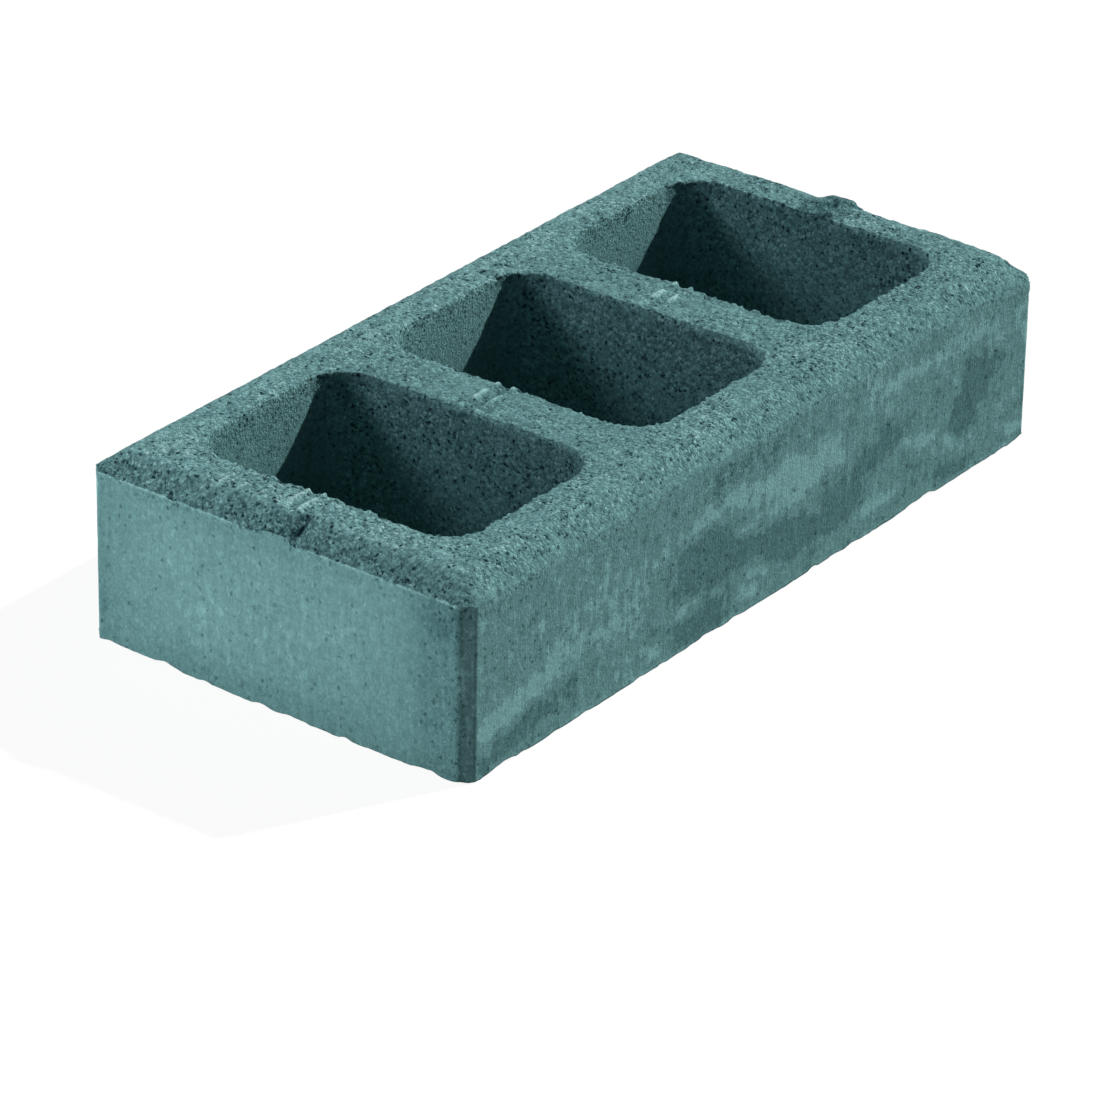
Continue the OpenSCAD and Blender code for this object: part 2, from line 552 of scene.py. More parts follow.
def torn_places():
    """Rows of start, end and rise. The middle is one inset from a rim for a crumb and half way
    over the wall for a flake, both on a ridge's line, and a pit lies in the track by the rim."""
    kinds = (FIRST_CRUMB, FLAKE, LAST_CRUMB)
    marks = np.array(list(itertools.product(range(len(CROSSED_WALLS)), (-1, 1), kinds)))
    wall, ridge, kind = marks.T
    rise = TORN_LEAST + TORN_SPREAD * lattice_number(marks, 81)
    slip = SLIP * (lattice_number(marks, 82) - 0.5)
    first, last = CROSSED_WALLS[wall].T
    middle = np.choose(kind, [first + CRUMB_INSET, (first + last) / 2 + slip, last - CRUMB_INSET])
    half = np.where(kind == FLAKE, FLAKE_HALF, CRUMB_HALF)
    line = TRACK_CENTRE + RIDGE_OFFSET * ridge
    lean = np.where(kind == FLAKE, slip / 2, 0.0)
    torn = np.column_stack([middle - half, line - lean, middle + half, line + lean, rise])
    pit_x = CROSSED_WALLS[:, 1] - PIT_INSET
    pit_y = np.full(len(pit_x), TRACK_CENTRE - RIDGE_OFFSET / 2)
    depth = np.full(len(pit_x), -PIT_DEPTH)
    pits = np.column_stack([pit_x - CRUMB_HALF, pit_y, pit_x + CRUMB_HALF, pit_y, depth])
    return np.concatenate([torn, pits])


placed_torn = torn_places()
print("torn pieces", len(placed_torn))

# %% Raise the torn pieces
TORN_HALF = 1.1
TORN_FADE = 1.5


def torn_pieces(x, y, placed):
    """The sum of small rounded walls: each is its rise times exp(-(distance to a short line over
    half width)^2). The nearest place on a line is found by projecting and stopping at its ends."""
    total = np.zeros_like(x)
    for start_x, start_y, end_x, end_y, rise in placed:
        run_x = end_x - start_x
        run_y = end_y - start_y
        share = ((x - start_x) * run_x + (y - start_y) * run_y) / (run_x ** 2 + run_y ** 2)
        share = np.clip(share, 0.0, 1.0)
        distance = np.hypot(x - start_x - share * run_x, y - start_y - share * run_y)
        total += rise * np.exp(-np.square(distance / TORN_HALF))
    return total


torn_lift = torn_pieces(x, y, placed_torn) * np.exp(-below_top / TORN_FADE)
print("torn pieces from", torn_lift.min().round(2), "to", torn_lift.max().round(2))

# %% [markdown]
# ## Lugs and crevices
# At both ends the bar kept the press head off, so the bevel is filled up there by a low lug. One
# flank of the lug fades into the bevel, and at the other a crevice runs down to the lip. The lug is
# a height over the bevel that comes and goes across the end, so it needs no mesh of its own.

# %% Lugs
LUG_START = 13.0
LUG_FULL = 3.0
LUG_EDGE = -5.5
LUG_END = -8.5
LUG_TURN = 0.25
LUG_CROWN_NEAR = 0.3
LUG_CROWN_FAR = 0.9
LUG_SAG_NEAR = 6.3
LUG_SAG_FAR = 5.5
LUG_FADE = 16.0
GAP_START = 15.5
GAP_FULL = 12.5
GAP_EDGE = -11.5
GAP_END = -14.0

lug_rise = ease_between(y, LUG_START, LUG_FULL) * ease_between(y, LUG_END, LUG_EDGE) * at_end
lug_crown = np.where(x < 0, LUG_CROWN_NEAR, LUG_CROWN_FAR) * ease_between(bevel_share, 0.0, LUG_TURN)
lug_sag = np.where(x < 0, LUG_SAG_NEAR, LUG_SAG_FAR) * ease_between(bevel_share, LUG_TURN, 1.0)
lug_top = BEVEL_DROP * bevel_share + lug_crown - lug_sag
side_fade = np.where(zone == ZONE_SIDE, np.clip(1 - (LIP - z) / LUG_FADE, 0.0, 1.0), 1.0)
lug_lift = np.where(on_outside, lug_rise * lug_top * np.square(side_fade), 0.0)
lip_gap = ease_between(y, GAP_START, GAP_FULL) * ease_between(y, GAP_END, GAP_EDGE) * at_end
print("lug up to", lug_lift.max().round(2))

# %% Crevices
CREVICE_MIDDLE = -7.9
CREVICE_WIDTH = 2.2
CREVICE_DEPTH = 1.1
CREVICE_FOOT = (1.05, 0.75)
CREVICE_RUN = 1.0
CREVICE_OPEN = 1.2
CREVICE_TAPER = 0.6
CREVICE_FAR_SHARE = 0.5

crevice_reach = (zone == ZONE_BEVEL) * ease_between(bevel_share, *CREVICE_FOOT)
crevice_reach += pressed * np.exp(-np.maximum(from_land_edge, 0.0) / CREVICE_RUN)
crevice_width = CREVICE_WIDTH * (CREVICE_OPEN - CREVICE_TAPER * bevel_share)
crevice = np.exp(-np.square((y - CREVICE_MIDDLE) / crevice_width)) * crevice_reach * at_end
crevice *= np.where(x < 0, 1.0, CREVICE_FAR_SHARE)
print("crevice points", int((crevice > 0.3).sum()))

# %% [markdown]
# ## How rough each point is
# How coarse a surface is depends on how it was made, so a single field says how rough each point
# is: all of it on the pressed face and the bevel, less in the cells, where it fades with depth, and
# little on the sides, which the mould wiped smooth. Some sand drifted down them from the lip.

# %% Roughness of the cells and the top
ROUGH_LONG_WALL = 0.45
ROUGH_CROSS_WALL = 1.25
ROUGH_LAND = 0.90
LAND_PATCHES = 0.30
RIM_ROUGH_REACH = 5.0
DEEP_LOSS = 0.5
DEEP_FROM = 8.0
DEEP_TO = 45.0
WEB_LOSS = 0.2
WEB_EDGE = 8.0
WEB_ENDS = (72.0, 55.0)
NEAR_END_GAIN = 0.3
NEAR_END_FROM = 45.0
NEAR_END_TO = 20.0
BEVEL_LOSS = 0.5

cross_share = np.square(plain_normal[:, 0])
rough_cell = ROUGH_LONG_WALL + (ROUGH_CROSS_WALL - ROUGH_LONG_WALL) * cross_share
rough_wall = rough_cell + (1 - rough_cell) * np.exp(-below_top / RIM_ROUGH_REACH)
rough_wall *= 1 - DEEP_LOSS * ease_between(below_top, DEEP_FROM, DEEP_TO)
on_web = ease_between(np.abs(np.abs(x) - PITCH / 2), WEB / 2 + WEB_EDGE, WEB / 2)
on_web *= ease_between(np.abs(y), *WEB_ENDS)
coarse_end = ease_between(x, NEAR_END_FROM - LENGTH / 2, NEAR_END_TO - LENGTH / 2)
rough_land = ROUGH_LAND + LAND_PATCHES * smooth_noise(plain, 12.0, 23)
rough_land *= 1 - WEB_LOSS * on_web + NEAR_END_GAIN * coarse_end
rough_bevel = 1.0 - BEVEL_LOSS * long_side * ease_between(bevel_share, 0.2, 1.1)
print("rough on the top", rough_land.min().round(2), rough_land.max().round(2))

# %% Roughness of the sides, and the whole field
ROUGH_SIDE = 0.14
ROUGH_UNDER = 0.6
ROUGH_LIP = 0.55
LIP_ROUGH_REACH = 2.0
LONG_LIP_LOSS = 0.4
DRIFT_ROUGH = 0.34
DRIFT_REACH = 13.0
NEAR_CORNER_GAIN = 0.12
NEAR_CORNER_FROM = 24.0
NEAR_CORNER_TO = 14.0
BEVEL_MOST = 0.9

rough_lip = 1.0 - LONG_LIP_LOSS * long_side
rough_side = ROUGH_LIP * rough_lip - ROUGH_SIDE
rough_side = ROUGH_SIDE + rough_side * np.exp(-below_lip / LIP_ROUGH_REACH)
sand_drift = np.clip(0.55 + smooth_noise(plain, (26.0, 26.0, 13.0), 24), 0.0, 1.0)
rough_side += DRIFT_ROUGH * long_side * sand_drift * np.exp(-below_lip / DRIFT_REACH)
near_corner = ease_between(y, NEAR_CORNER_FROM - WIDTH / 2, NEAR_CORNER_TO - WIDTH / 2)
rough_side += NEAR_CORNER_GAIN * (1 - long_side) * near_corner
rough = np.select(
    [zone == ZONE_WALL, zone == ZONE_LAND, zone == ZONE_BEVEL, zone == ZONE_SIDE],
    [rough_wall, rough_land, rough_bevel * np.minimum(rough_land, BEVEL_MOST), rough_side],
    ROUGH_UNDER,
)
print("roughness", rough.min().round(2), rough.max().round(2))

# %% [markdown]
# ## Relief along the normals
# Round stones stand out, lost ones leave holes, and slow noise makes the face uneven. All of it is
# pushed along the normals, times the roughness. Grain under two millimetres is left to the
# material, because the mesh would need millions of faces to hold it. The wiped sides get long
# upright drag marks instead and lie a little behind the lip, where the last concrete squeezed out.

# %% Stones, holes and lumps
STONE_RELIEF = 0.55
STONE_MIDDLE = 0.45
SAND_RELIEF = 0.40
HOLE_DEPTH = 0.8
HOLE_EDGES = (0.77, 0.94)
LUMP_RELIEF = 0.30
SWELL_RELIEF = 0.16
FINE_FADE = 4.0

grains = STONE_RELIEF * (stones(plain, 2.9, 21) - STONE_MIDDLE)
grains += SAND_RELIEF * smooth_noise(plain, 2.2, 25)
lumps = LUMP_RELIEF * smooth_noise(plain, 6.0, 26) + SWELL_RELIEF * smooth_noise(plain, 14.0, 27)
holes = ease_between(stones(plain, 5.2, 28), *HOLE_EDGES)
fine_share = np.where(zone == ZONE_WALL, np.exp(-below_top / FINE_FADE), 1.0)
relief = rough * ((grains - HOLE_DEPTH * holes) * fine_share + lumps)
print("stones", relief.min().round(2), relief.max().round(2), "mm")

# %% Drag marks
DRAG_FINE = 0.06
DRAG_BROAD = 0.16
SIDE_SETBACK = 0.42
SETBACK_START = 7.0

drag = DRAG_FINE * smooth_noise(plain, (3.2, 3.2, 45.0), 31)
drag += DRAG_BROAD * smooth_noise(plain, (22.0, 22.0, 34.0), 32)
set_back = 1 - long_side * ease_between(below_lip, SETBACK_START, 0.0)
relief = np.where(zone == ZONE_SIDE, relief + (drag - SIDE_SETBACK) * set_back, relief)
print("drag marks", drag.min().round(2), drag.max().round(2), "mm")

# %% [markdown]
# ## Worn and broken edges
# No edge of a casting is sharp. The rims of the cells crumble unevenly, the shoulder above the
# bevel and the lip below it are rounded, and a piece is broken out where the core bar left the
# last cell. Each is a depth that dies away from its edge like a bell curve, taken off the relief.

# %% Rims of the cells
RIM_DEPTH = 0.25
RIM_CRUMBLED = 0.40
RIM_CRUMBS = 0.9
RIM_FADE = 1.0

crumbled = 0.45 + 0.9 * smooth_noise(plain, 2.6, 41) + 0.5 * smooth_noise(plain, 11.0, 42)
crumbled = np.clip(crumbled, 0.0, 2.0)
along_rim = np.where(zone == ZONE_WALL, below_top, from_mouth)
at_rim = np.exp(-np.maximum(along_rim, 0.0) / RIM_FADE) * np.isin(zone, (ZONE_WALL, ZONE_LAND))
rim_crumbs = RIM_CRUMBS * smooth_noise(plain, 1.5, 44)
relief -= (RIM_DEPTH + RIM_CRUMBLED * crumbled + rim_crumbs) * at_rim
print("crumbled", crumbled.min().round(2), crumbled.max().round(2))

# %% Broken rim of the last cell
FAR_BREAK = (LENGTH / 2 - END_SHELL + 6.0, 3.0)
FAR_BREAK_ALONG = 10.0
FAR_BREAK_ACROSS = 12.0
FAR_BREAK_DEPTH = 2.2
FAR_BREAK_FADE = 4.0

break_along = (x - FAR_BREAK[0]) / FAR_BREAK_ALONG
break_reach = np.hypot(break_along, (y - FAR_BREAK[1]) / FAR_BREAK_ACROSS)
far_break = np.exp(-break_reach ** 3) * np.exp(-below_top / FAR_BREAK_FADE)
far_break = far_break * (0.75 + 0.5 * smooth_noise(plain, 3.0, 43))
relief -= FAR_BREAK_DEPTH * far_break
print("broken rim up to", (FAR_BREAK_DEPTH * far_break.max()).round(2), "mm deep")

# %% Lip, lugs and shoulder
LIP_HALF = 2.2
LIP_WORN = 0.35
LUG_FOOT_HALF = 2.6
LUG_WORN = 0.9
SHOULDER_HALF = 1.4
SHOULDER_STEEPER = 0.6
SHOULDER_WORN = 0.15
SHOULDER_CRUMBLED = 0.3

by_lip = np.isin(zone, (ZONE_BEVEL, ZONE_SIDE))
lip_round = long_side * np.exp(-np.square(from_lip / LIP_HALF)) * by_lip
relief -= (LIP_WORN + LIP_WORN * crumbled) * lip_round
lug_round = lug_rise * np.exp(-np.square(from_lip / LUG_FOOT_HALF)) * by_lip
relief -= LUG_WORN * lug_round
shoulder_reach = np.where(zone == ZONE_BEVEL, below_top / SHOULDER_STEEPER, from_land_edge)
at_shoulder = np.exp(-np.square(shoulder_reach / SHOULDER_HALF))
at_shoulder *= np.isin(zone, (ZONE_LAND, ZONE_BEVEL))
relief -= (SHOULDER_WORN + SHOULDER_CRUMBLED * crumbled) * at_shoulder * (1 - lug_rise)
print("relief", relief.min().round(2), relief.max().round(2), "mm")

# %% [markdown]
# ## The fin at the lip
# Round the foot of the bevel the press head met the mould's wall, and a little mortar squeezed up
# into the gap between them. It left a thin broken fin on the ends and almost none on the long
# sides. It needs its own direction, straight out of the side it stands on, because the normals
# turn at the lip and would spread it.

# %% Fin
FIN_OUT = 0.42
FIN_UP = 0.35
FIN_WIDTH = 0.5
FIN_FAR_SIDE = 0.3
FIN_NEAR_SIDE = -0.45

fin_whole = smooth_noise(plain, 8.0, 51) + 0.6 * smooth_noise(plain, 3.0, 52)
fin_whole = ease_between(fin_whole, -0.75, 0.1)
faint_line = FIN_NEAR_SIDE * ease_between(smooth_noise(plain, 13.0, 53), -0.1, 0.5)
fin_side = np.where(y < 0, faint_line, FIN_FAR_SIDE)
fin = np.exp(-np.square(from_lip / FIN_WIDTH)) * fin_whole * (1 - (1 - fin_side) * long_side)
fin *= by_lip * (1 - lip_gap)
outward = np.stack([
    np.sign(x) * (from_end < inset + 0.5),
    np.sign(y) * (from_side < inset + 0.5),
    np.zeros_like(z),
], axis=1)
outward /= np.maximum(np.linalg.norm(outward, axis=1, keepdims=True), 1.0)
print("fin", fin.min().round(2), fin.max().round(2))

# %% [markdown]
# ## The torn bed and the far corner
# At the bed the concrete tears as the mould lifts, so the bottom edge is chipped unevenly: a few
# wide chips, more small ones and a ragged line between them. The chips lift the edge, and one
# noise read at the foot alone keeps the side and the bed together. The far corner is worn low.

# %% Chips and the worn corner
CHIP_REACH = 9.0
WIDE_CHIPS = 1.6
SMALL_CHIPS = 1.5
CHIP_LEAST = 0.12
CHIP_RAGGED = 0.20
BROKEN_FOOT = 1.4
BROKEN_FOOT_SIDES = (44.0, 54.0)
BROKEN_FOOT_REACH = 40.0
WORN_CORNER = (LENGTH / 2, -WIDTH / 2)
WORN_REACH = 15.0
WORN_HEIGHT = 30.0
WORN_DEPTH = 3.6

foot = np.stack([x, y, np.zeros_like(z)], axis=1)
chip = WIDE_CHIPS * np.clip(smooth_noise(foot, 19.0, 61) - 0.1, 0.0, 1.0)
chip += SMALL_CHIPS * np.clip(smooth_noise(foot, 7.0, 62) - 0.15, 0.0, 1.0)
chip += CHIP_LEAST + CHIP_RAGGED * smooth_noise(foot, 2.6, 63)
broken_foot = BROKEN_FOOT * ease_between(y, *BROKEN_FOOT_SIDES)
chip += broken_foot * ease_between(x, BROKEN_FOOT_REACH - LENGTH / 2, -LENGTH / 2)
chip *= np.where(zone == ZONE_UNDER, np.clip(1 - inset / CHIP_REACH, 0.0, 1.0), 1.0)
chip *= np.where(zone == ZONE_SIDE, np.clip(1 - z / CHIP_REACH, 0.0, 1.0), 1.0)
chip *= np.isin(zone, (ZONE_SIDE, ZONE_UNDER))
worn = np.exp(-(np.square(x - WORN_CORNER[0]) + np.square(y - WORN_CORNER[1])) / WORN_REACH ** 2)
worn *= ease_between(z, LIP - WORN_HEIGHT, LIP) * on_outside
print("chips up to", chip.max().round(2), "mm")

# %% [markdown]
# ## The finished shape
# All the parts are added to the plain skin, some along the normals and some straight up. What
# would reach past the CAD part's box is held at it, so the size rule can't be broken by a grain.

# %% Add the parts up
shaped = plain + plain_normal * relief[:, None] + FIN_OUT * fin[:, None] * outward
shaped -= plain_normal * (CREVICE_DEPTH * crevice)[:, None]
raised = ridge_lift + torn_lift - track * TRACK_DEPTH + lug_lift + FIN_UP * fin + chip
shaped[:, 2] += raised - WORN_DEPTH * worn
limit = np.array([LENGTH / 2, WIDTH / 2, HEIGHT + RIDGE_HEIGHT])
shaped = np.clip(shaped, [-limit[0], -limit[1], 0.0], limit)
print("shaped box", shaped.min(axis=0).round(2), shaped.max(axis=0).round(2))

# %% [markdown]
# ## Bloom, stains and painted light
# Lime rises to the surface while the block cures and dries as a pale bloom, and damp patches stay
# dark. On a wiped side this shows as soft clouds. Noise alone would scatter them anywhere, so the
# large ones are listed one by one for the two faces in view, as slanting ovals: middle, height, half
# length, half height, strength and slope. On the end in view they are mostly painted light: a pale
# middle, darker edges and a dark band by the front corner, as the light falls off across that face.
# They only say where it is paler or darker. Noise bends them, and the material tears their edges
# into streaks, so the mesh needn't be fine enough for that.

# %% Place the clouds
LONG_FACE_CLOUDS = [
    (-178, 22, 11, 8, 1.2, 0.1),
    (-160, 25, 14, 8, 0.9, 0.1),
    (-141, 31, 16, 9, 0.7, 0.2),
    (-132, 46, 20, 9, 0.3, 0.2),
    (-95, 40, 34, 15, 0.3, 0.0),
    (-88, 8, 34, 6, 0.35, 0.0),
    (-46, 52, 12, 4, 0.9, 0.25),
    (-26, 55, 16, 4, 1.0, 0.0),
    (-14, 38, 9, 4, 1.3, -0.2),
    (6, 51, 20, 8, 0.9, 0.1),
    (34, 50, 24, 7, 1.0, 0.1),
    (16, 39, 16, 4, 0.9, 0.2),
    (47, 43, 10, 4, 0.6, 0.2),
    (-44, 19, 14, 3, 0.9, 0.1),
    (-8, 14, 12, 4, 0.7, -0.4),
    (-14, 5, 14, 4, 0.7, 0.0),
    (84, 64, 22, 5, 0.4, 0.1),
    (125, 63, 30, 5, 0.6, 0.0),
    (165, 56, 24, 5, 0.4, -0.1),
    (99, 33, 14, 3, 0.8, -0.3),
    (120, 25, 18, 3, 1.0, -0.35),
    (135, 18, 12, 2.5, 0.6, -0.3),
    (172, 25, 12, 2.5, 0.8, 0.1),
    (181, 10, 12, 2.5, 0.9, -0.2),
    (75, 9, 26, 4, 0.5, 0.1),
    (-162, 9, 28, 5, -1.1, 0.1),
    (-47, 37, 17, 11, -1.3, 0.0),
    (-29, 31, 19, 12, -1.2, 0.0),
    (-42, 7, 20, 8, -1.2, 0.0),
    (-2, 26, 24, 6, -0.9, -0.15),
    (27, 20, 30, 9, -1.1, -0.05),
    (62, 30, 20, 12, -0.9, 0.3),
    (84, 40, 16, 11, -0.8, 0.1),
    (150, 44, 15, 9, -1.0, 0.0),
    (142, 31, 19, 10, -1.1, 0.2),
    (-12, 68, 50, 6, -0.4, 0.0),
    (127, 7, 38, 4, -0.6, 0.0),
]
# Painted light on the end in view: a pale middle, darker edges and a dark band by the front corner.
END_FACE_PAINTED_LIGHT = [
    (20, 38, 60, 28, 0.8, 0.0),
    (52, 55, 12, 12, 0.5, 0.0),
    (36, 28, 18, 12, 0.4, 0.0),
    (-35, 50, 20, 22, 0.4, 0.0),
    (-83, 38, 16, 80, -1.8, 0.0),
    (-82, 68, 12, 9, -1.3, 0.0),
    (92, 35, 12, 80, -0.7, 0.0),
    (10, 74, 90, 5, -0.4, 0.0),
    (0, 0, 99, 10, -0.8, 0.0),
]
print("clouds", len(LONG_FACE_CLOUDS), len(END_FACE_PAINTED_LIGHT))

# %% Clouds of the sides
BEND_ALONG = 8.0
FINE_BEND_ALONG = 3.0
BEND_UP = 4.5
FINE_BEND_UP = 2.0
SLOW_BLOOM = 0.8
END_PAINTED_LIGHT_SHARE = 0.2
END_PAINTED_LIGHT_LEAST = -0.3
FLAT_SHARE = 0.3


def clouds(along, height, placed):
    """The sum of soft slanting ovals: each is its strength times exp(-(distance over half
    size)^3), with the height measured from a line of the given slope through its middle."""
    total = np.zeros_like(along)
    for middle, level, reach, rise, strength, slope in placed:
        across = height - level - slope * (along - middle)
        distance = np.hypot((along - middle) / reach, across / rise)
        total += strength * np.exp(-distance ** 3)
    return total


slow = SLOW_BLOOM * smooth_noise(plain, (46.0, 46.0, 20.0), 71)
near_long = (from_side < inset + 1.0) & (y < 0)
near_end = (from_end < inset + 1.0) & (x < 0)
bend_along = BEND_ALONG * smooth_noise(plain, (19.0, 19.0, 11.0), 75)
bend_along += FINE_BEND_ALONG * smooth_noise(plain, (7.0, 7.0, 4.0), 76)
bend_up = BEND_UP * smooth_noise(plain, (21.0, 21.0, 14.0), 77)
bend_up += FINE_BEND_UP * smooth_noise(plain, (8.0, 8.0, 5.0), 78)
bloom_and_painted_light = np.where(near_long, clouds(x + bend_along, z + bend_up, LONG_FACE_CLOUDS), slow)
end_painted_light = np.where(near_end & (zone == ZONE_SIDE), clouds(y, z, END_FACE_PAINTED_LIGHT), 0.0)
# On the near end the bloom field takes a share of the end's painted light instead.
bloom_and_painted_light = np.where(near_end, END_PAINTED_LIGHT_SHARE * np.maximum(end_painted_light, END_PAINTED_LIGHT_LEAST), bloom_and_painted_light)
bloom_and_painted_light = np.where(from_flat < inset + 0.3, FLAT_SHARE * slow, bloom_and_painted_light)
print("clouds of the sides", bloom_and_painted_light.min().round(2), bloom_and_painted_light.max().round(2))

# %% Bloom of every face
TOP_BLOOM = 0.45
WEB_BLOOM = -0.5
BACK_BLOOM = 0.35
BACK_FROM = 45.0
BACK_TO = 70.0
RAGGED_BLOOM = 0.38
RAGGED_END_SHARE = 0.25

ragged = RAGGED_BLOOM * smooth_noise(plain, (15.0, 15.0, 7.0), 72)
ragged += RAGGED_BLOOM * smooth_noise(plain, (6.5, 6.5, 4.0), 73)
bloom_above = TOP_BLOOM * smooth_noise(plain, 21.0, 74) + WEB_BLOOM * on_web
bloom_above += BACK_BLOOM * ease_between(y, BACK_FROM, BACK_TO)
bloom_and_painted_light = np.where(zone == ZONE_SIDE, bloom_and_painted_light, bloom_above)
bloom_and_painted_light += ragged * np.where(near_end, RAGGED_END_SHARE, 1.0)
bloom_and_painted_light *= zone != ZONE_WALL
print("bloom_and_painted_light", bloom_and_painted_light.min().round(2), bloom_and_painted_light.max().round(2))

# %% [markdown]
# ## Fields for the material
# The material has to know where the concrete was pressed, wiped, torn or squeezed out, and the
# plainest way to tell it is a number at each point. The cut corners are painted darker as shade, as
# is a strip under the lip beside the near one, and the near end as a whole is made a little paler.
# The end's painted light, a pale middle with darker edges, is broad and soft, so its tone goes with
# that of the corners and not through the torn edges of the bloom.

# %% Shade of corners and ends
CORNER_PAINTED_SHADE = 0.45
END_PAINTED_LIGHT_TONE = 0.7
END_TONE = 0.25
STRIP_SHARE = 0.7
STRIP_EDGE = (7.0, 5.5)
STRIP_FOOT = (20.0, 14.0)
FLAT_EDGE_END = 3.0
FLAT_EDGE_SIDE = 1.0
FLAT_INNER = 0.2

# Painted shade: the cut corners, and a strip under the lip beside the near one, are darker.
corner_edge = np.where(from_end < from_side, FLAT_EDGE_END, FLAT_EDGE_SIDE)
corner_shade_mask = ease_between(from_flat - inset, corner_edge, FLAT_INNER)
corner_shade_mask = np.where(on_outside, corner_shade_mask, 0.0)
corner_shade_mask *= zone != ZONE_LAND
strip = STRIP_SHARE * near_end
strip = strip * ease_between(y, STRIP_EDGE[0] - WIDTH / 2, STRIP_EDGE[1] - WIDTH / 2)
strip *= ease_between(z, LIP - STRIP_FOOT[0], LIP - STRIP_FOOT[1])
strip *= zone == ZONE_SIDE
corner_shade_mask = np.maximum(corner_shade_mask, strip)
# Painted shade of the corners, less the end's painted light, and the whole near end a little paler.
painted_corner_shade_and_end_light = CORNER_PAINTED_SHADE * corner_shade_mask - END_PAINTED_LIGHT_TONE * end_painted_light - END_TONE * near_end
print("corner shade", painted_corner_shade_and_end_light.min().round(2), painted_corner_shade_and_end_light.max().round(2))

# %% Other fields
FLAKE_HIGHLIGHT = 1.2
RIDGE_HIGHLIGHT = 0.2
LUG_DARKENING = 0.3
TRACK_DARKENING = 0.5
BREAK_DARKENING = 1.5
RIM_PAINTED_SHADE = 0.12
DEEP_PAINTED_SHADE = 0.88
BEVEL_SHADE_TOP = 0.35
BEVEL_SHADE_END = 1.5

# Painted highlights on the torn flakes and crumbs and on the ridges, where they stand up into the
# light.
painted_flake_highlights = FLAKE_HIGHLIGHT * np.clip(torn_lift, 0.0, 1.3) + RIDGE_HIGHLIGHT * np.clip(ridge_lift, 0.0, 1.0)
# Painted shadow in the crevices, and a darker lug, track and broken rim.
painted_shadow_and_marks = crevice + LUG_DARKENING * lug_rise * (zone == ZONE_BEVEL)
painted_shadow_and_marks += TRACK_DARKENING * track + BREAK_DARKENING * far_break
# Painted shade in the cells: the walls a little darker just below the rim and much darker with depth.
painted_cell_shade = RIM_PAINTED_SHADE * ease_between(below_top, 0, 2) + DEEP_PAINTED_SHADE * ease_between(below_top, 6, 62)
side_share = ease_between(below_lip, -6.0 * long_side, 10.0 * long_side + 0.01)
bevel_shade = (zone == ZONE_BEVEL) * np.clip(BEVEL_SHADE_TOP + bevel_share, 0.0, 1.0)
bevel_shade = bevel_shade * (BEVEL_SHADE_END - 1.0 * long_side)
material_fields = {
    "rough": rough,
    "fin": fin + painted_flake_highlights,
    "painted_shadow_and_marks": np.clip(painted_shadow_and_marks, 0.0, 1.0),
    "bloom_and_painted_light": bloom_and_painted_light,
    "corner": painted_corner_shade_and_end_light,
    "long": long_side * by_lip,
    "cell": (zone == ZONE_WALL) * painted_cell_shade,
    "side": (zone == ZONE_SIDE) * side_share,
    "bevel": bevel_shade,
}
print("fields", len(material_fields))

# %% [markdown]
# ## The mesh
# from_pydata takes the whole arrays, and the fields go along as point attributes. Smooth shading
# hides the grid, and the grain is large enough to keep the surface from looking soft.

# %% Make the block
def add_mesh(name, points, quads, fields):
    """A mesh object at the origin from points in millimetres, quads and named point fields."""
    mesh = bpy.data.meshes.new(name)
    mesh.from_pydata((points * MM).tolist(), [], quads.tolist())
    mesh.shade_smooth()
    for field, values in fields.items():
        attribute = mesh.attributes.new(field, "FLOAT", "POINT")
        attribute.data.foreach_set("value", values.astype(np.float32))
    mesh.validate()
    piece = bpy.data.objects.new(name, mesh)
    bpy.context.scene.collection.objects.link(piece)
    return piece


casting = add_mesh("cast_block", shaped, block_quads, material_fields)
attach(casting, "root")
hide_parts("block")
print("block faces", len(casting.data.polygons))

# %% [markdown]
# ## Small helpers for nodes
# A concrete's look is mostly sums of noises, and wiring those by hand is long. A few helpers keep
# it readable: one adds a node and fills or links its inputs, one does arithmetic, one adds sockets
# up and one weighs them first, and one maps a range to another.

# %% Node helpers
def add_node(tree, kind, inputs=None, **settings):
    """A new node with its settings made and each named input linked to a socket or set."""
    node = tree.nodes.new(kind)
    for name, value in settings.items():
        setattr(node, name, value)
    for name, value in (inputs or {}).items():
        if isinstance(value, bpy.types.NodeSocket):
            tree.links.new(value, node.inputs[name])
        else:
            node.inputs[name].default_value = value
    return node


def calculate(tree, operation, *values):
    """The result of one Math node on sockets or numbers."""
    inputs = dict(enumerate(values))
    return add_node(tree, "ShaderNodeMath", inputs, operation=operation).outputs[0]


def total(tree, *terms):
    """The sum of several sockets or numbers."""
    result = terms[0]
    for term in terms[1:]:
        result = calculate(tree, "ADD", result, term)
    return result


def empty_tree(owner):
    """The node tree of a material or a world, with its first nodes taken out."""
    owner.use_nodes = True
    owner.node_tree.nodes.clear()
    return owner.node_tree


def weighted(tree, pairs):
    """Each socket times its weight, for a list of pairs. A weight may be a socket as well."""
    return [calculate(tree, "MULTIPLY", socket, weight) for socket, weight in pairs]


# %% Ranges, noises and fields
NOISE_GAIN = 2.6


def remap(tree, value, low, high, new_low=0.0, new_high=1.0, smooth=True):
    """The value's range from low to high, turned into new_low to new_high and held there."""
    inputs = {"Value": value, "From Min": low, "From Max": high, "To Min": new_low, "To Max": new_high}
    kind = "SMOOTHSTEP" if smooth else "LINEAR"
    return add_node(tree, "ShaderNodeMapRange", inputs, interpolation_type=kind).outputs["Result"]


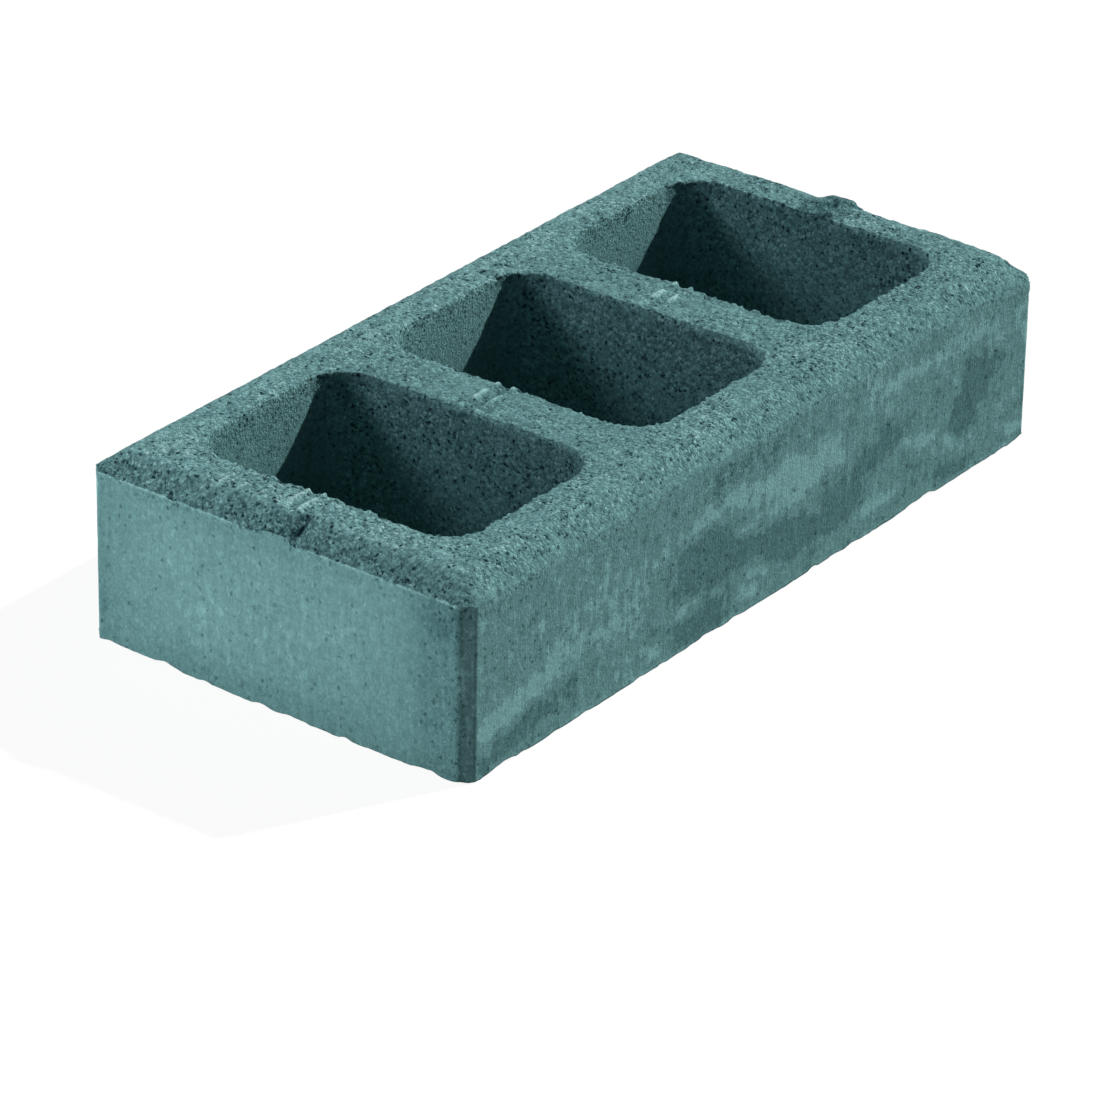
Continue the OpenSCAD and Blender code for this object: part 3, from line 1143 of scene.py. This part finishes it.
def noise(tree, vector, size, detail=2.0, roughness=0.55):
    """Noise about zero, from about -1 to 1, with features of the size in millimetres."""
    inputs = {"Vector": vector, "Scale": 1.0 / size, "Detail": detail, "Roughness": roughness}
    value = add_node(tree, "ShaderNodeTexNoise", inputs).outputs[0]
    return calculate(tree, "MULTIPLY_ADD", value, NOISE_GAIN, -NOISE_GAIN / 2)


def field(tree, name):
    """A point field that the mesh carries."""
    node = add_node(tree, "ShaderNodeAttribute", attribute_name=name)
    return node.outputs["Fac"]


# %% [markdown]
# ## The concrete
# One material does the whole casting. It adds up a height in millimetres and a tone from 0, the
# darkest, to 1, bare lime, each from the same noises, so that what is low is also painted dark and
# what stands out pale, as the light and shade that a bump can't cast. The tone picks the colour
# from a ramp whose darker tones are bluer. The fields on the mesh say how much of each noise shows
# where.

# %% Concrete
MM_IN_METRE = 1000.0
FIELDS = ("rough", "side", "cell", "long", "bloom_and_painted_light", "fin", "bevel", "corner", "painted_shadow_and_marks")

concrete = bpy.data.materials.new("pigmented_concrete")
tree = empty_tree(concrete)
object_place = add_node(tree, "ShaderNodeTexCoord").outputs["Object"]
to_mm = {"Vector": object_place, "Scale": (MM_IN_METRE, MM_IN_METRE, MM_IN_METRE)}
place = add_node(tree, "ShaderNodeMapping", to_mm).outputs["Vector"]
fields = {name: field(tree, name) for name in FIELDS}
print("fields read", sorted(fields))

# %% [markdown]
# ## Sand grains
# Voronoi cells are the sand. A colour noise shifts the place they are read at, which makes round
# cells crooked. Each cell's own random colour decides its fate: about one in six is missing and
# leaves a pit, and its green and blue give it a tone. A fine noise stands for the cement between.

# %% Sand grains and missing grains
SAND_SIZE = 1.6
SAND_SHIFT = (1.9, 1.9, 1.9)
DOME_HEIGHT = 0.36
PIT_HEIGHT = -0.80
CEMENT_HEIGHT = 0.38

fine = noise(tree, place, 0.9, 2.0, 0.7)
swirl_inputs = {"Vector": place, "Scale": 1.1, "Detail": 1.5, "Roughness": 0.6}
swirl = add_node(tree, "ShaderNodeTexNoise", swirl_inputs)
sideways = {0: swirl.outputs["Color"], 1: SAND_SHIFT, 2: place}
shifted = add_node(tree, "ShaderNodeVectorMath", sideways, operation="MULTIPLY_ADD").outputs[0]
sand = add_node(tree, "ShaderNodeTexVoronoi", {"Vector": shifted, "Scale": 1.0 / SAND_SIZE})
chance = add_node(tree, "ShaderNodeSeparateColor", {"Color": sand.outputs["Color"]}).outputs
dome = remap(tree, sand.outputs["Distance"], 0.75, 0.1)
missing = remap(tree, chance["Red"], 0.22, 0.12)
open_pit = calculate(tree, "MULTIPLY", missing, remap(tree, sand.outputs["Distance"], 0.62, 0.30))
grain = total(tree, *weighted(tree, [
    (dome, DOME_HEIGHT),
    (open_pit, PIT_HEIGHT),
    (fine, CEMENT_HEIGHT),
]))
print("sand nodes", len(tree.nodes))

# %% [markdown]
# ## The wiped sides
# The mould dragged the sides smooth, so they get the same grains almost pressed flat, upright marks
# from a noise stretched seven times in height, and a pore where one grain in forty was lost.

# %% Drag marks and pores
STRETCH = (1.0, 1.0, 0.14)
MARK_HEIGHT = 0.045
WIPED_CEMENT = 0.07
WIPED_DOME = 0.06
PORE_HEIGHT = -0.35

stretched = add_node(tree, "ShaderNodeMapping", {"Vector": place, "Scale": STRETCH}).outputs["Vector"]
drag_marks = noise(tree, stretched, 1.7, 1.0, 0.6)
few = remap(tree, chance["Red"], 0.028, 0.02)
pore = calculate(tree, "MULTIPLY", few, dome)
wiped_height = total(tree, *weighted(tree, [
    (drag_marks, MARK_HEIGHT),
    (fine, WIPED_CEMENT),
    (dome, WIPED_DOME),
    (pore, PORE_HEIGHT),
]))
print("with the wiped sides", len(tree.nodes))

# %% [markdown]
# ## Height of the whole surface
# The roughness field mixes the two: all grain where it is 1, all wiped surface where it is 0. The
# bump turns that height into shading only, at a little less than its true depth.

# %% Height and bump
BUMP_DISTANCE = 0.0009

grain_share = calculate(tree, "MULTIPLY", fields["rough"], grain)
wiped_share = calculate(tree, "SUBTRACT", 1.0, fields["rough"])
wiped_part = calculate(tree, "MULTIPLY", wiped_share, wiped_height)
height = calculate(tree, "ADD", grain_share, wiped_part)
bump_inputs = {"Strength": 1.0, "Distance": BUMP_DISTANCE, "Height": height}
bump = add_node(tree, "ShaderNodeBump", bump_inputs)
print("with the height", len(tree.nodes))

# %% [markdown]
# ## Bloom with torn edges
# The clouds in the bloom field are smooth ovals. Two noises added before the range is cut make
# their edges ragged, and one of the two is stretched upright, so that long sides look streaked.

# %% Bloom
STREAK_SHARE = 0.68
TEAR = 0.45
TEAR_LONG_SIDE = 0.35
MOTTLE = 0.058
PALE_CLOUD = 0.17
DARK_CLOUD = -0.13
CLOUD_LEAST = 0.5

torn = noise(tree, place, 5.0, 3.0, 0.6)
streaks = noise(tree, stretched, 3.4, 2.0, 0.6)
tearing = calculate(tree, "MULTIPLY_ADD", streaks, STREAK_SHARE, torn)
tear_share = calculate(tree, "MULTIPLY_ADD", fields["long"], TEAR_LONG_SIDE, TEAR)
cloud = calculate(tree, "MULTIPLY_ADD", tearing, tear_share, fields["bloom_and_painted_light"])
pale_cloud = remap(tree, cloud, 0.15, 0.75, 0.0, PALE_CLOUD)
dark_cloud = remap(tree, cloud, -0.15, -0.80, 0.0, DARK_CLOUD)
mottle = calculate(tree, "MULTIPLY", torn, MOTTLE)
cloud_tone = total(tree, pale_cloud, dark_cloud, mottle)
cloud_share = calculate(tree, "MAXIMUM", fields["side"], CLOUD_LEAST)
print("with the bloom", len(tree.nodes))

# %% [markdown]
# ## Tone
# The tone starts in the middle. What stands out is painted paler and what lies low painted darker,
# as light and shade on the grain, so the two heights go in, then the clouds, a tone for each grain
# and a few bare white ones. The last rows are the fields: the fin, the torn flakes and the ridges
# get a painted highlight, the crevices a painted shadow, the lugs, track and broken rim are darker,
# and the cut corners and the cells get painted shade.

# %% Tone of the surface
MIDDLE_TONE = 0.5
# Painted light and shade: the grain's height and the wiped surface's height make what stands out paler
# and what lies low darker.
RELIEF_LIGHT_AND_SHADE = 0.66
WIPED_LIGHT_AND_SHADE = 0.35
MARK_TONE = 0.028
GRAIN_SPREAD = 0.30
GRAIN_LEAST = 0.25
WHITE_GRAIN = 0.20
WHITE_GRAIN_LEAST = 0.04
ROUGH_LIFT = 0.02
# The fin field's tone paints a highlight along the fin, on the flakes and on the ridges, and a darker
# line where the fin sinks to a groove on the near long side.
FIELD_TONES = {
    "fin": 0.34,
    "bevel": -0.09,
    "side": -0.010,
    "corner": -0.09,
    "painted_shadow_and_marks": -0.22,
    "cell": -0.16,
}

grain_tone = calculate(tree, "MULTIPLY_ADD", chance["Green"], GRAIN_SPREAD, -GRAIN_SPREAD / 2)
pale_grain = calculate(tree, "MULTIPLY", remap(tree, chance["Blue"], 0.93, 0.95), dome)
centred_grain = calculate(tree, "MULTIPLY_ADD", fields["rough"], ROUGH_LIFT, grain_share)
tone = total(tree, MIDDLE_TONE, *weighted(tree, [
    (centred_grain, RELIEF_LIGHT_AND_SHADE),
    (wiped_part, WIPED_LIGHT_AND_SHADE),
    (drag_marks, calculate(tree, "MULTIPLY", fields["side"], MARK_TONE)),
    (grain_tone, calculate(tree, "MAXIMUM", fields["rough"], GRAIN_LEAST)),
    (cloud_tone, cloud_share),
    (pale_grain, calculate(tree, "MULTIPLY_ADD", fields["rough"], WHITE_GRAIN, WHITE_GRAIN_LEAST)),
    *[(fields[name], weight) for name, weight in FIELD_TONES.items()],
]))
print("with the tone", len(tree.nodes))

# %% [markdown]
# ## Colour and shader
# A ramp turns the tone into a colour, darker tones being bluer. Dry concrete hardly shines, so the
# roughness is high, a little less where it is pale, and the specular level is low.

# %% Colour ramp and shader
TONES = [
    (0.00, (0.008, 0.030, 0.038)),
    (0.22, (0.028, 0.088, 0.095)),
    (0.50, (0.126, 0.268, 0.266)),
    (0.75, (0.226, 0.450, 0.442)),
    (1.00, (0.410, 0.650, 0.640)),
]
DULL_DARK = 0.95
DULL_PALE = 0.82
SPECULAR = 0.08

ramp = add_node(tree, "ShaderNodeValToRGB", {"Fac": tone})
while len(ramp.color_ramp.elements) < len(TONES):
    ramp.color_ramp.elements.new(0.5)
for element, (position, colour) in zip(ramp.color_ramp.elements, TONES):
    element.position = position
    element.color = (*colour, 1.0)
dullness = remap(tree, tone, 0.3, 0.8, DULL_DARK, DULL_PALE)
shader = add_node(tree, "ShaderNodeBsdfPrincipled", {
    "Base Color": ramp.outputs["Color"],
    "Roughness": dullness,
    "Normal": bump.outputs["Normal"],
    "Specular IOR Level": SPECULAR,
})
add_node(tree, "ShaderNodeOutputMaterial", {"Surface": shader.outputs[0]})
casting.data.materials.append(concrete)
print("concrete nodes", len(tree.nodes))

# %% [markdown]
# ## Light
# A small hard lamp stands behind the block on the right, so it rakes over the pressed face,
# throws crisp shadows into the cells and leaves the grain standing out. On the left a long low
# strip lamp fills the end that faces the viewer, and a smaller soft lamp above it reaches into the
# cells. More lamps would light it more evenly, and hide the very relief that makes it concrete.

# %% Lamps
SUN_TRAVEL = (-50.0, 26.0, -43.0)
SUN_STRENGTH = 3.8
SUN_ANGLE = math.radians(1.6)
SUN_DISTANCE = 3.0
FILL_TOWARDS = (0.80, -0.60, -0.02)
FILL_DISTANCE = 2.2
FILL_POWER = 34.5
FILL_LENGTH = 1.8
FILL_HEIGHT = 0.16
HIGH_FILL_TOWARDS = (0.64, -0.60, -0.48)
HIGH_FILL_POWER = 13.5
HIGH_FILL_SIZE = 0.6
HIGH_FILL_COLOUR = (0.86, 0.90, 1.0)


def aim_lamp(lamp, travel, distance):
    """Puts the lamp so that its light travels along the direction and meets the block."""
    direction = np.array(travel) / np.linalg.norm(travel)
    side = np.cross(direction, [0.0, 0.0, 1.0])
    side /= np.linalg.norm(side)
    up = np.cross(side, direction)
    matrix = np.eye(4)
    matrix[:3, :3] = np.column_stack([side, up, -direction])
    matrix[:3, 3] = -direction * distance
    matrix[2, 3] += HEIGHT / 2 * MM
    lamp.matrix_world = Matrix(matrix.tolist())


def add_lamp(name, kind, travel, distance, **settings):
    """A lamp of a kind, with its settings, that isn't itself seen."""
    data = bpy.data.lights.new(name, kind)
    for setting, value in settings.items():
        setattr(data, setting, value)
    lamp = bpy.data.objects.new(name, data)
    bpy.context.scene.collection.objects.link(lamp)
    aim_lamp(lamp, travel, distance)
    lamp.visible_camera = False
    return lamp


add_lamp("key", "SUN", SUN_TRAVEL, SUN_DISTANCE, energy=SUN_STRENGTH, angle=SUN_ANGLE)
add_lamp(
    "fill", "AREA", FILL_TOWARDS, FILL_DISTANCE,
    energy=FILL_POWER, shape="RECTANGLE", size=FILL_LENGTH, size_y=FILL_HEIGHT,
)
add_lamp(
    "high_fill", "AREA", HIGH_FILL_TOWARDS, FILL_DISTANCE,
    energy=HIGH_FILL_POWER, shape="RECTANGLE", color=HIGH_FILL_COLOUR,
    size=HIGH_FILL_SIZE, size_y=HIGH_FILL_SIZE,
)
print("lamps", len(bpy.data.lights))

# %% [markdown]
# ## Floor and background
# The floor is a sheet of white paper, a hair below the bed, so that it never cuts through the torn
# edge. Camera rays see it, and the world round it, as almost plain white. For all other rays it is
# plain paper that bounces a little light and keeps the block's faint shadow, and the world gives
# only a touch of cool light.

# %% Floor
FLOOR_SIZE = 8.0
FLOOR_LEVEL = -0.05
FLOOR_BOUNCE = 0.55
FLOOR_SEEN = 0.10
FLOOR_GLOW = 0.93


def camera_share(tree):
    """1 for what is seen straight, in a mirror or through glass, and 0 for bounced light."""
    path = add_node(tree, "ShaderNodeLightPath").outputs
    seen = calculate(tree, "MAXIMUM", path["Is Camera Ray"], path["Is Glossy Ray"])
    return calculate(tree, "MAXIMUM", seen, path["Is Transmission Ray"])


half = FLOOR_SIZE / 2 / MM
floor_plan = np.array([[-half, -half], [half, -half], [half, half], [-half, half]])
floor_points = np.column_stack([floor_plan, np.full(4, FLOOR_LEVEL)])
floor = add_mesh("floor", floor_points, np.array([[0, 1, 2, 3]]), {})
paper = bpy.data.materials.new("white_paper")
paper_tree = empty_tree(paper)
seen = camera_share(paper_tree)
white = remap(paper_tree, seen, 0.0, 1.0, FLOOR_BOUNCE, FLOOR_SEEN, smooth=False)
white_inputs = {"Red": white, "Green": white, "Blue": white}
white_colour = add_node(paper_tree, "ShaderNodeCombineColor", white_inputs)
diffuse = add_node(paper_tree, "ShaderNodeBsdfDiffuse", {"Color": white_colour.outputs[0]})
glow = calculate(paper_tree, "MULTIPLY", seen, FLOOR_GLOW)
glowing = add_node(paper_tree, "ShaderNodeEmission", {"Strength": glow})
both = add_node(paper_tree, "ShaderNodeAddShader", {0: diffuse.outputs[0], 1: glowing.outputs[0]})
add_node(paper_tree, "ShaderNodeOutputMaterial", {"Surface": both.outputs[0]})
floor.data.materials.append(paper)
print("floor at", FLOOR_LEVEL, "mm")

# %% World
WORLD_LIGHT = 0.040
WORLD_RED = 0.60
WORLD_GREEN = 0.58

world = bpy.data.worlds.new("studio")
world_tree = empty_tree(world)
seen_straight = camera_share(world_tree)
world_strength = remap(world_tree, seen_straight, 0.0, 1.0, WORLD_LIGHT, 1.0, smooth=False)
world_red = remap(world_tree, seen_straight, 0.0, 1.0, WORLD_RED, 1.0, smooth=False)
world_green = remap(world_tree, seen_straight, 0.0, 1.0, WORLD_GREEN, 1.0, smooth=False)
world_inputs = {"Red": world_red, "Green": world_green, "Blue": 1.0}
world_colour = add_node(world_tree, "ShaderNodeCombineColor", world_inputs).outputs[0]
sky = add_node(world_tree, "ShaderNodeBackground", {"Color": world_colour, "Strength": world_strength})
add_node(world_tree, "ShaderNodeOutputWorld", {"Surface": sky.outputs[0]})
bpy.context.scene.world = world
bpy.context.scene.view_settings.view_transform = "Standard"
print("world nodes", len(world_tree.nodes))
